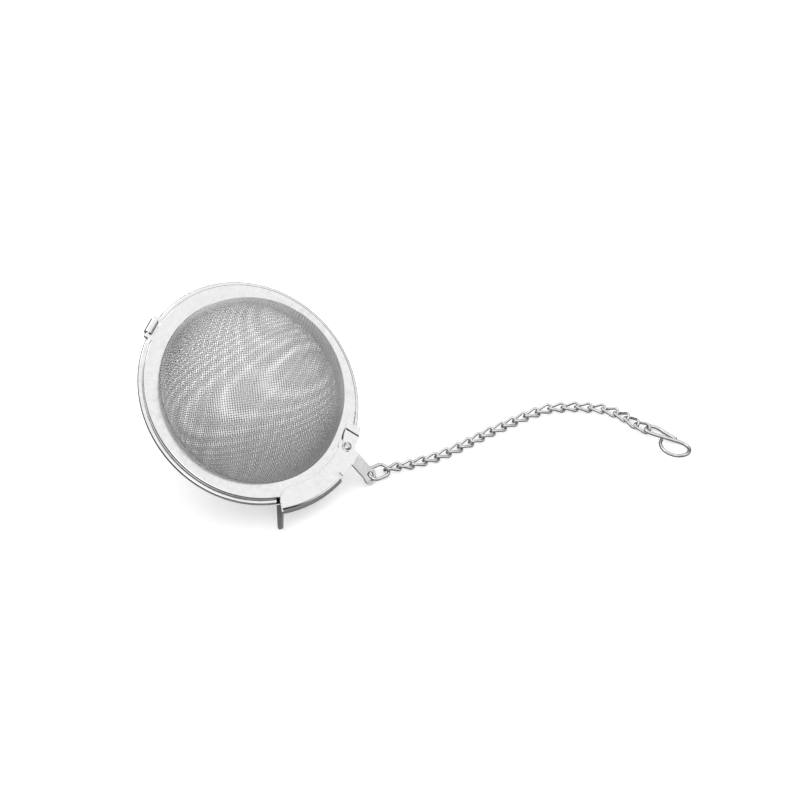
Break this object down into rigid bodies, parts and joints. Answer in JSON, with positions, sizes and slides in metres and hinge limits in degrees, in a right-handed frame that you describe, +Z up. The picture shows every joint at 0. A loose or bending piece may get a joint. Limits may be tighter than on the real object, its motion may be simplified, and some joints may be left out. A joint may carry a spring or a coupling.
{
  "type": "tea infuser",
  "caption": "Ball tea infuser lying on its side: two hinged mesh domes in folded steel rims, a snap latch with a thumb tab, a curb chain and a wire hook",
  "frame": {"origin": "middle of the bounding box's bottom face, on the table that the closed infuser and its chain lie on", "axes": "+Z up from the table, +X along the chain from the ball towards the hook, +Y away from the latch side"},
  "size_m": [0.1436, 0.0554, 0.0474],
  "materials": {
    "rim_steel": "polished stainless steel",
    "mesh_steel": "woven stainless wire",
    "latch_steel": "stamped polished stainless steel",
    "chain_steel": "drawn stainless wire"
  },
  "bodies": {
    "bottom_half": {"bottom_rim": "rim_steel", "bottom_mesh": "mesh_steel"},
    "lid": {"top_rim": "rim_steel", "top_mesh": "mesh_steel", "latch_bracket": "latch_steel", "latch_rivet": "latch_steel"},
    "latch": {"latch_lever": "latch_steel"},
    "jump_ring": {"jump_ring": "chain_steel"},
    "link_01": {"chain_link_01": "chain_steel"},
    "link_02": {"chain_link_02": "chain_steel"},
    "link_03": {"chain_link_03": "chain_steel"},
    "link_04": {"chain_link_04": "chain_steel"},
    "link_05": {"chain_link_05": "chain_steel"},
    "link_06": {"chain_link_06": "chain_steel"},
    "link_07": {"chain_link_07": "chain_steel"},
    "link_08": {"chain_link_08": "chain_steel"},
    "link_09": {"chain_link_09": "chain_steel"},
    "link_10": {"chain_link_10": "chain_steel"},
    "link_11": {"chain_link_11": "chain_steel"},
    "link_12": {"chain_link_12": "chain_steel"},
    "link_13": {"chain_link_13": "chain_steel"},
    "link_14": {"chain_link_14": "chain_steel"},
    "link_15": {"chain_link_15": "chain_steel"},
    "link_16": {"chain_link_16": "chain_steel"},
    "link_17": {"chain_link_17": "chain_steel"},
    "link_18": {"chain_link_18": "chain_steel"},
    "link_19": {"chain_link_19": "chain_steel"},
    "link_20": {"chain_link_20": "chain_steel"},
    "link_21": {"chain_link_21": "chain_steel"},
    "link_22": {"chain_link_22": "chain_steel"},
    "hook": {"chain_hook": "chain_steel"}
  },
  "joints": [
    {"name": "lid_hinge", "type": "hinge", "parent": "bottom_half", "child": "lid", "pos_m": [-0.06863, 0.00692, 0.04003], "axis": [-0.4133, -0.8632, -0.29], "range_deg": [0, 150]},
    {"name": "latch_swing", "type": "hinge", "parent": "lid", "child": "latch", "pos_m": [-0.01879, -0.00575, 0.01018], "axis": [0.3826, -0.4536, 0.8049], "range_deg": [0, 50]},
    {"name": "ring_swing", "type": "hinge", "parent": "latch", "child": "jump_ring", "pos_m": [-0.01276, -0.00814, 0.00222], "axis": [0.3355, -0.1581, 0.9287], "range_deg": [-12, 25]},
    {"name": "swing_01", "type": "hinge", "parent": "jump_ring", "child": "link_01", "pos_m": [-0.00889, -0.00453, 0.00113], "axis": [-0.1651, 0.488, -0.8571], "range_deg": [-25, 15]},
    {"name": "swing_02", "type": "hinge", "parent": "link_01", "child": "link_02", "pos_m": [-0.00476, -0.00302, 0.00119], "axis": [0.2998, -0.8031, -0.515], "range_deg": [-25, 25]},
    {"name": "swing_03", "type": "hinge", "parent": "link_02", "child": "link_03", "pos_m": [-0.00208, -0.00222, 0.00087], "axis": [0.1741, -0.6879, 0.7046], "range_deg": [-25, 25]},
    {"name": "swing_04", "type": "hinge", "parent": "link_03", "child": "link_04", "pos_m": [0.00206, -0.00079, 0.00124], "axis": [-0.2863, 0.6493, 0.7046], "range_deg": [-25, 25]},
    {"name": "swing_05", "type": "hinge", "parent": "link_04", "child": "link_05", "pos_m": [0.00452, 0.00053, 0.001], "axis": [-0.3654, 0.6054, -0.7071], "range_deg": [-25, 25]},
    {"name": "swing_06", "type": "hinge", "parent": "link_05", "child": "link_06", "pos_m": [0.00829, 0.00279, 0.001], "axis": [0.363, -0.6068, -0.7071], "range_deg": [-25, 25]},
    {"name": "swing_07", "type": "hinge", "parent": "link_06", "child": "link_07", "pos_m": [0.01061, 0.00436, 0.00101], "axis": [0.4178, -0.5705, 0.7071], "range_deg": [-25, 25]},
    {"name": "swing_08", "type": "hinge", "parent": "link_07", "child": "link_08", "pos_m": [0.01417, 0.00695, 0.00099], "axis": [-0.4135, 0.5736, 0.7071], "range_deg": [-25, 25]},
    {"name": "swing_09", "type": "hinge", "parent": "link_08", "child": "link_09", "pos_m": [0.01642, 0.00862, 0.00099], "axis": [-0.4137, 0.5735, -0.7071], "range_deg": [-25, 25]},
    {"name": "swing_10", "type": "hinge", "parent": "link_09", "child": "link_10", "pos_m": [0.01998, 0.01121, 0.00101], "axis": [0.4176, -0.5707, -0.7071], "range_deg": [-25, 25]},
    {"name": "swing_11", "type": "hinge", "parent": "link_10", "child": "link_11", "pos_m": [0.02238, 0.01264, 0.00107], "axis": [0.4168, -0.5713, 0.707], "range_deg": [-25, 25]},
    {"name": "swing_12", "type": "hinge", "parent": "link_11", "child": "link_12", "pos_m": [0.02599, 0.01517, 0.00099], "axis": [-0.3943, 0.5871, 0.707], "range_deg": [-25, 25]},
    {"name": "swing_13", "type": "hinge", "parent": "link_12", "child": "link_13", "pos_m": [0.02831, 0.01674, 0.001], "axis": [-0.3431, 0.6183, -0.7071], "range_deg": [-25, 25]},
    {"name": "swing_14", "type": "hinge", "parent": "link_13", "child": "link_14", "pos_m": [0.03215, 0.01887, 0.001], "axis": [0.3425, -0.6186, -0.7071], "range_deg": [-25, 25]},
    {"name": "swing_15", "type": "hinge", "parent": "link_14", "child": "link_15", "pos_m": [0.03476, 0.0199, 0.00104], "axis": [0.107, -0.699, 0.7071], "range_deg": [-25, 25]},
    {"name": "swing_16", "type": "hinge", "parent": "link_15", "child": "link_16", "pos_m": [0.03912, 0.02052, 0.00099], "axis": [-0.0899, 0.7014, 0.7071], "range_deg": [-25, 25]},
    {"name": "swing_17", "type": "hinge", "parent": "link_16", "child": "link_17", "pos_m": [0.04192, 0.02054, 0.0011], "axis": [0.0179, 0.7071, -0.7068], "range_deg": [-25, 25]},
    {"name": "swing_18", "type": "hinge", "parent": "link_17", "child": "link_18", "pos_m": [0.04631, 0.02031, 0.00098], "axis": [-0.0561, -0.7051, -0.7068], "range_deg": [-25, 25]},
    {"name": "swing_19", "type": "hinge", "parent": "link_18", "child": "link_19", "pos_m": [0.04907, 0.01981, 0.00106], "axis": [-0.2775, -0.6505, 0.707], "range_deg": [-25, 25]},
    {"name": "swing_20", "type": "hinge", "parent": "link_19", "child": "link_20", "pos_m": [0.05309, 0.01802, 0.00099], "axis": [0.2977, 0.6415, 0.707], "range_deg": [-25, 25]},
    {"name": "swing_21", "type": "hinge", "parent": "link_20", "child": "link_21", "pos_m": [0.05522, 0.0162, 0.00113], "axis": [0.6184, 0.5666, -0.5446], "range_deg": [-25, 25]},
    {"name": "swing_22", "type": "hinge", "parent": "link_21", "child": "link_22", "pos_m": [0.05822, 0.01298, 0.00119], "axis": [-0.3906, -0.3798, -0.8386], "range_deg": [-15, 25]},
    {"name": "hook_swing", "type": "hinge", "parent": "link_22", "child": "hook", "pos_m": [0.06041, 0.01136, 0.00138], "axis": [0.3891, 0.8976, -0.2071], "range_deg": [-25, 25]}
  ]
}
